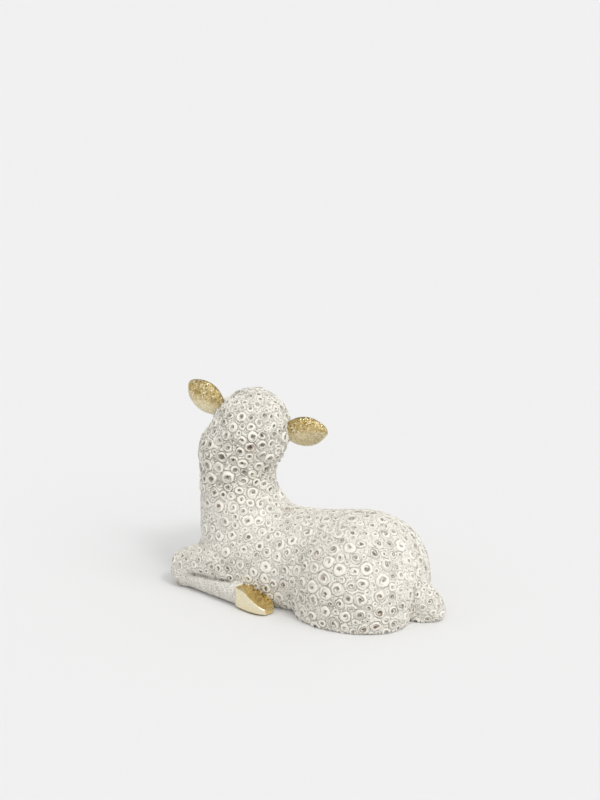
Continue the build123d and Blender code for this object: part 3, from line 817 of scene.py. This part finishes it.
def make_hoof(side):
    """A gold hoof with crisp edges that are painted bright as a highlight. Its outer wall is painted paler
    as a reflection.
    """
    node = side + "_fore_hoof"
    piece = even_skin(node + "_gold", (node,), GOLD_GRAIN)
    mesh = piece.data
    relax(mesh, GOLD_GRAIN, HOOF_SPREAD)
    crisp = points_of(mesh)
    # Convex edges, which a further evening pulls in, are painted bright as a highlight
    relax(mesh, GOLD_GRAIN, EDGE_SPREAD)
    edge_bulge = ((crisp - points_of(mesh)) * normals_of(mesh)).sum(1)
    set_points(mesh, crisp)
    mark_points(mesh, "painted_edge_highlight", 0.8 * ease(0.10 * MM, 0.22 * MM, edge_bulge))
    # The outer wall is painted paler as a reflection
    outward = normals_of(mesh)[:, 1] * (-1 if side == "left" else 1)
    mark_points(mesh, "smooth_and_reflected_side", ease(0.45, 0.75, outward))
    dress(piece, HOOF_GOLD, "gold_paint", node)


for side in ("left", "right"):
    make_ear(side)
    make_hoof(side)


# Studio

# Levels of the large soft light, of the small one in it and of the even fill
KEY_LEVEL = 1.02
HEART_LEVEL = 0.52
FILL_LEVEL = 0.69


def make_camera():
    """The photograph's camera. Returns its right and the way back from the lamb to it."""
    turn, drop = VIEW_TURN, VIEW_DROP
    right = Vector((cos(turn), sin(turn), 0))
    back = Vector((sin(turn) * cos(drop), -cos(turn) * cos(drop), sin(drop)))
    up = back.cross(right)
    across = (TAIL_FOOT_PIXEL[0] - PICTURE[0] / 2) / FOCAL_PIXELS * VIEW_DISTANCE
    rise = (PICTURE[1] / 2 - TAIL_FOOT_PIXEL[1]) / FOCAL_PIXELS * VIEW_DISTANCE
    camera = bpy.data.objects.new("camera", bpy.data.cameras.new("camera"))
    camera.location = TAIL_FOOT - right * across - up * rise + back * VIEW_DISTANCE
    camera.rotation_euler = back.to_track_quat("Z", "Y").to_euler()
    camera.data.sensor_fit = "VERTICAL"
    camera.data.sensor_height = SENSOR_MM
    camera.data.lens = FOCAL_PIXELS / PICTURE[1] * SENSOR_MM
    camera.data.clip_start = 10 * MM
    camera.data.clip_end = 100
    bpy.context.scene.collection.objects.link(camera)
    bpy.context.scene.camera = camera
    return right, back


def make_light(name, to_light, energy, angle):
    light = bpy.data.objects.new(name, bpy.data.lights.new(name, "SUN"))
    light.rotation_euler = to_light.to_track_quat("Z", "Y").to_euler()
    light.data.energy = energy
    light.data.angle = radians(angle)
    bpy.context.scene.collection.objects.link(light)


def make_studio():
    """A large soft light and a small one in it from the upper right, even fill, and a pale floor
    that fills the view. What shines mirrors a pale room with a darker ceiling."""
    right, back = make_camera()
    to_key = right * 0.38 + Vector((0, 0, 1)) * 0.70 + back * 0.64
    make_light("key", to_key, KEY_LEVEL, 60)
    make_light("key_heart", to_key, HEART_LEVEL, 12)

    world = bpy.data.worlds.new("studio")
    world.use_nodes = True
    tree = world.node_tree
    tree.nodes.clear()
    path = add(tree, "LightPath").outputs
    way = add(tree, "SeparateXYZ", add(tree, "TexCoord").outputs["Generated"])
    ceiling = add(tree, "MapRange", step(0.05, 0.8, way.outputs["Z"]), interpolation_type="SMOOTHSTEP")
    mirrored = add(tree, "Mix", {0: ceiling, 6: linear("#EEEEEE"), 7: linear("#A6A6A6")}, data_type="RGBA")
    shown = add(tree, "Math", path["Is Camera Ray"], path["Is Transmission Ray"], operation="MAXIMUM")
    fill = add(tree, "Background", linear("#FFFFFF"), FILL_LEVEL)
    room = add(tree, "Background", mirrored, 1.0)
    backdrop = add(tree, "Background", linear("#EEEEEE"), 1.0)
    mixed = add(tree, "MixShader", path["Is Glossy Ray"], fill, room)
    mixed = add(tree, "MixShader", shown, mixed, backdrop)
    add(tree, "OutputWorld", mixed)
    bpy.context.scene.world = world

    bm = bmesh.new()
    bmesh.ops.create_grid(bm, x_segments=1, y_segments=1, size=15)
    mesh = bpy.data.meshes.new("floor")
    bm.to_mesh(mesh)
    bm.free()
    floor = bpy.data.objects.new("floor", mesh)
    bpy.context.scene.collection.objects.link(floor)
    # Matte pale paper: no gloss, so that only the lamb's soft shadow shows on it
    material, tree = new_material("matte_paper_floor")
    shader = add(tree, "BsdfDiffuse", linear("#EAEAEA"))
    add(tree, "OutputMaterial", shader)
    mesh.materials.append(material)


make_studio()
bpy.context.scene.view_settings.view_transform = "Standard"
